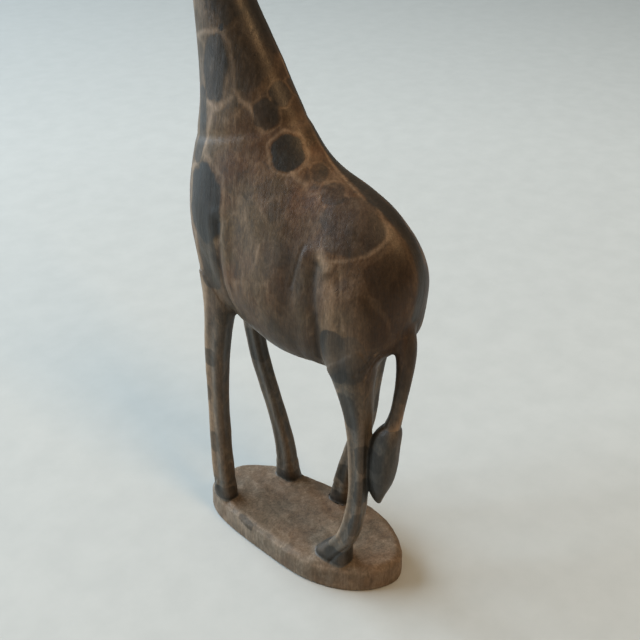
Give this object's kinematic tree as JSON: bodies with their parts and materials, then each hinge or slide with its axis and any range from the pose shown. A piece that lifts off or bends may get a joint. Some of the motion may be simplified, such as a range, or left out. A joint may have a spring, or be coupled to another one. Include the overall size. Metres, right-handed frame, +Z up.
{
  "type": "carved giraffe statue",
  "caption": "Hand-carved wooden giraffe with burnt spots, standing in a walking stance on an oval plinth cut from the same wood.",
  "frame": {"origin": "centre of the plinth's flat underside", "axes": "+Z up, the giraffe faces -Y, its left side is +X"},
  "size_m": [0.0774, 0.2334, 0.5105],
  "materials": {
    "carved_wood": "waxed satin, dark brown with burnt spots and tan lines",
    "plinth_wood": "waxed satin, gouge marked",
    "dark_wood": "burnt and waxed"
  },
  "bodies": {
    "root": {"plinth": "plinth_wood", "torso": "carved_wood", "neck": "carved_wood", "head": "carved_wood", "front_left_leg": "carved_wood", "front_right_leg": "carved_wood", "hind_left_leg": "carved_wood", "hind_right_leg": "carved_wood", "tail": "carved_wood", "tail_tuft": "dark_wood", "left_horn": "dark_wood", "right_horn": "dark_wood", "left_ear": "carved_wood", "right_ear": "carved_wood"}
  },
  "joints": []
}
